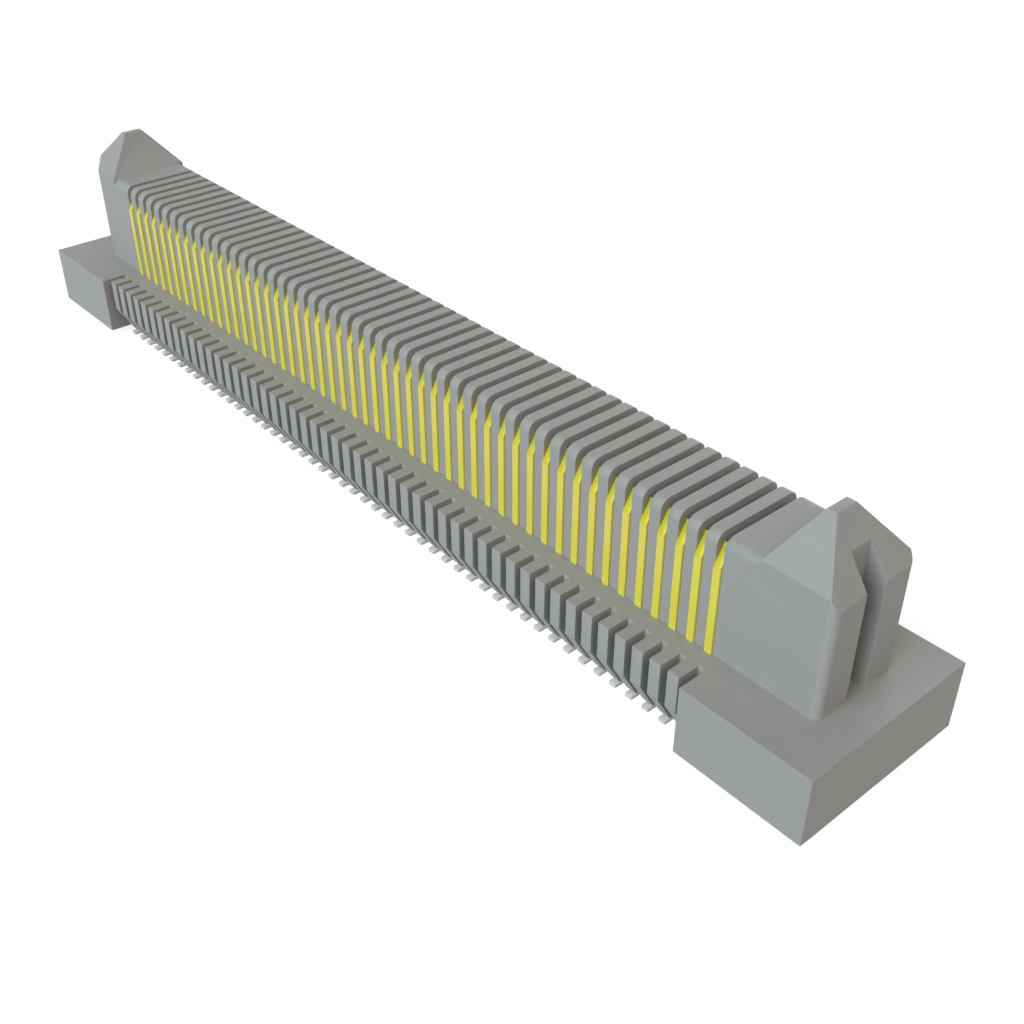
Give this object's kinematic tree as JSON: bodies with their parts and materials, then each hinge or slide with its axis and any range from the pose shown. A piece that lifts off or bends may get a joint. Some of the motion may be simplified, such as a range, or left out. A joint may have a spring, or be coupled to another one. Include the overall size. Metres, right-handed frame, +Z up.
{
  "type": "board to board connector",
  "caption": "Surface-mount board to board header with rows of contacts on a slotted tongue, hipped guide posts at its ends and a ribbed base.",
  "frame": {"origin": "centre of the footprint on the board's surface, the plane that the solder feet stand on", "axes": "+X along the contact rows, +Y across them, +Z up away from the board towards the mating connector"},
  "size_m": [0.0508, 0.008, 0.0095],
  "materials": {
    "housing_plastic": "matte moulded grey",
    "plated_contact": "gold-plated blade, tin-plated solder foot"
  },
  "bodies": {
    "root": {"housing": "housing_plastic", "contact_pair_01": "plated_contact", "contact_pair_02": "plated_contact", "contact_pair_03": "plated_contact", "contact_pair_04": "plated_contact", "contact_pair_05": "plated_contact", "contact_pair_06": "plated_contact", "contact_pair_07": "plated_contact", "contact_pair_08": "plated_contact", "contact_pair_09": "plated_contact", "contact_pair_10": "plated_contact", "contact_pair_11": "plated_contact", "contact_pair_12": "plated_contact", "contact_pair_13": "plated_contact", "contact_pair_14": "plated_contact", "contact_pair_15": "plated_contact", "contact_pair_16": "plated_contact", "contact_pair_17": "plated_contact", "contact_pair_18": "plated_contact", "contact_pair_19": "plated_contact", "contact_pair_20": "plated_contact", "contact_pair_21": "plated_contact", "contact_pair_22": "plated_contact", "contact_pair_23": "plated_contact", "contact_pair_24": "plated_contact", "contact_pair_25": "plated_contact", "contact_pair_26": "plated_contact", "contact_pair_27": "plated_contact", "contact_pair_28": "plated_contact", "contact_pair_29": "plated_contact", "contact_pair_30": "plated_contact", "contact_pair_31": "plated_contact", "contact_pair_32": "plated_contact", "contact_pair_33": "plated_contact", "contact_pair_34": "plated_contact", "contact_pair_35": "plated_contact", "contact_pair_36": "plated_contact", "contact_pair_37": "plated_contact", "contact_pair_38": "plated_contact", "contact_pair_39": "plated_contact", "contact_pair_40": "plated_contact", "contact_pair_41": "plated_contact", "contact_pair_42": "plated_contact", "contact_pair_43": "plated_contact", "contact_pair_44": "plated_contact", "contact_pair_45": "plated_contact", "contact_pair_46": "plated_contact", "contact_pair_47": "plated_contact", "contact_pair_48": "plated_contact", "contact_pair_49": "plated_contact", "contact_pair_50": "plated_contact"}
  },
  "joints": []
}
